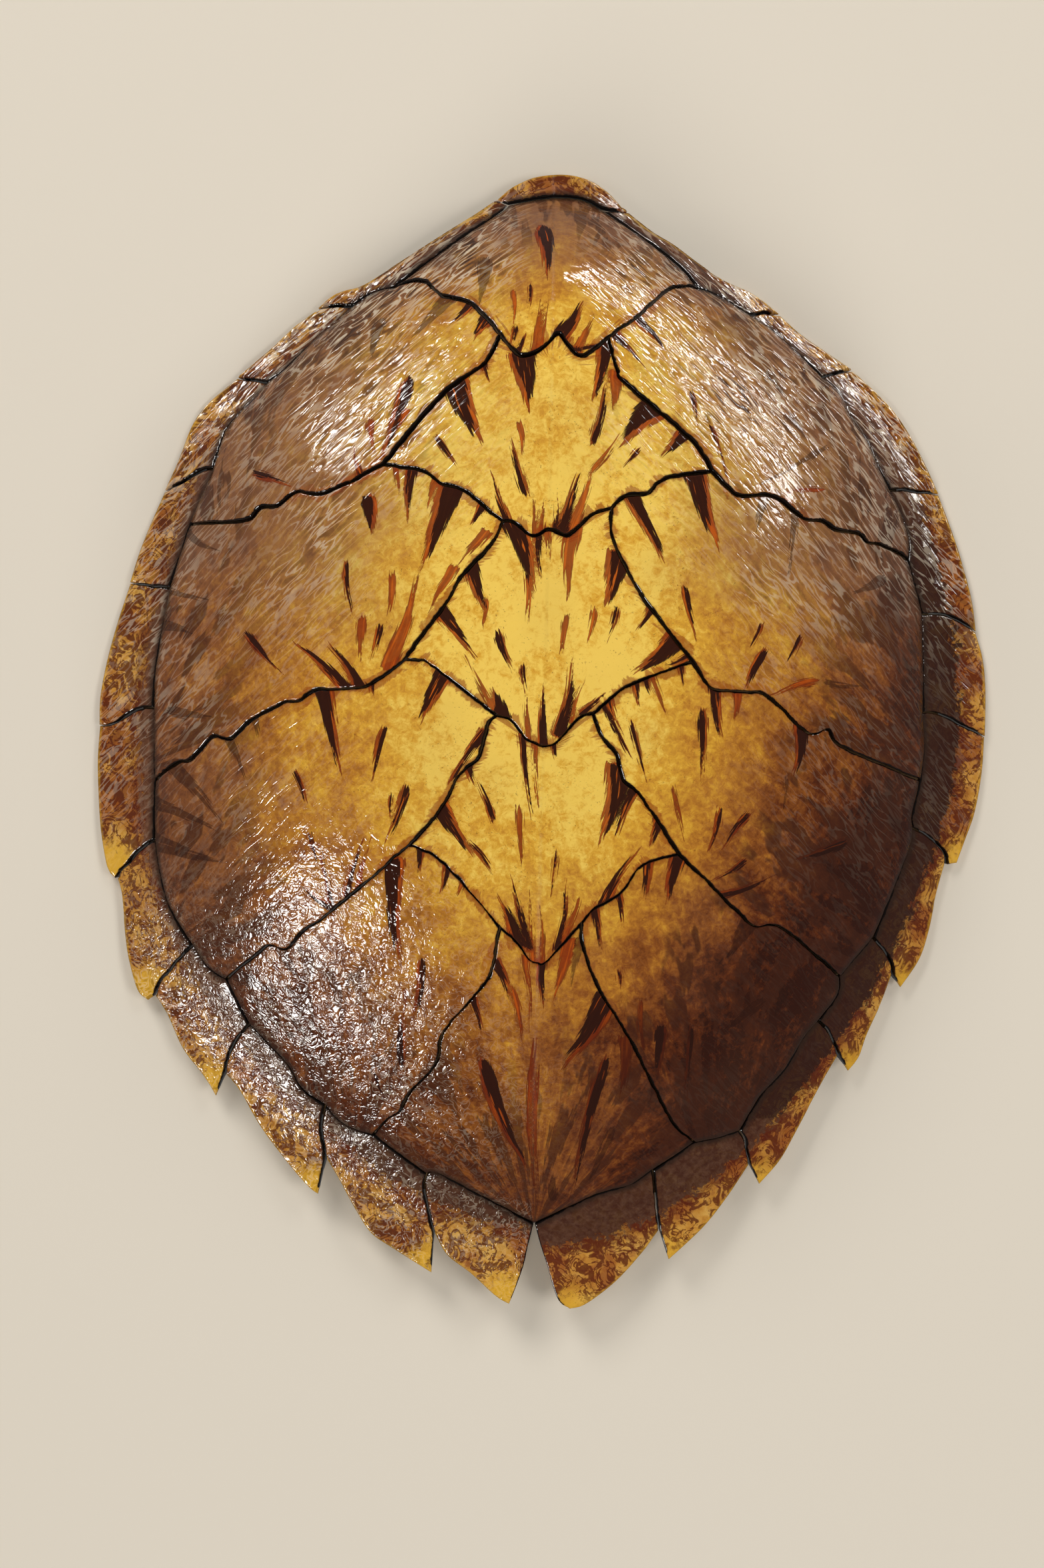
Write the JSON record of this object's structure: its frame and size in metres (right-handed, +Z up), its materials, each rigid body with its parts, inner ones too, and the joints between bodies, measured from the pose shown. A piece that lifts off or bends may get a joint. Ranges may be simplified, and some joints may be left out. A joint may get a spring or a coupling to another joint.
{
  "type": "sea turtle carapace",
  "caption": "Dry sea turtle carapace: domed bony shield under overlapping varnished horn scutes, with a toothed rear rim, lying on its rim dome up.",
  "frame": {"origin": "middle of the plan box, on the surface the rim rests on", "axes": "+Y towards the head end, +X towards the right of the picture, +Z up through the dome"},
  "size_m": [0.5513, 0.6992, 0.1532],
  "materials": {
    "bone": "dry, matt, slightly porous bone",
    "horn_amber": "polished and varnished golden horn with dark brown and rust streaks",
    "horn_brown": "varnished horn, amber towards the middle and dark brown outwards, finely wrinkled",
    "horn_margin": "varnished horn with brown veins, yellow at the free edge"
  },
  "bodies": {
    "root": {"bony_carapace": "bone", "nuchal": "horn_margin", "vertebral_1": "horn_amber", "vertebral_2": "horn_amber", "vertebral_3": "horn_amber", "vertebral_4": "horn_amber", "vertebral_5": "horn_brown", "costal_left_1": "horn_brown", "costal_left_2": "horn_brown", "costal_left_3": "horn_brown", "costal_left_4": "horn_brown", "costal_right_1": "horn_brown", "costal_right_2": "horn_brown", "costal_right_3": "horn_brown", "costal_right_4": "horn_brown", "marginal_left_1": "horn_margin", "marginal_left_2": "horn_margin", "marginal_left_3": "horn_margin", "marginal_left_4": "horn_margin", "marginal_left_5": "horn_margin", "marginal_left_6": "horn_margin", "marginal_left_7": "horn_margin", "marginal_left_8": "horn_margin", "marginal_left_9": "horn_margin", "marginal_left_10": "horn_margin", "marginal_left_11": "horn_margin", "marginal_right_1": "horn_margin", "marginal_right_2": "horn_margin", "marginal_right_3": "horn_margin", "marginal_right_4": "horn_margin", "marginal_right_5": "horn_margin", "marginal_right_6": "horn_margin", "marginal_right_7": "horn_margin", "marginal_right_8": "horn_margin", "marginal_right_9": "horn_margin", "marginal_right_10": "horn_margin", "marginal_right_11": "horn_margin"}
  },
  "joints": []
}
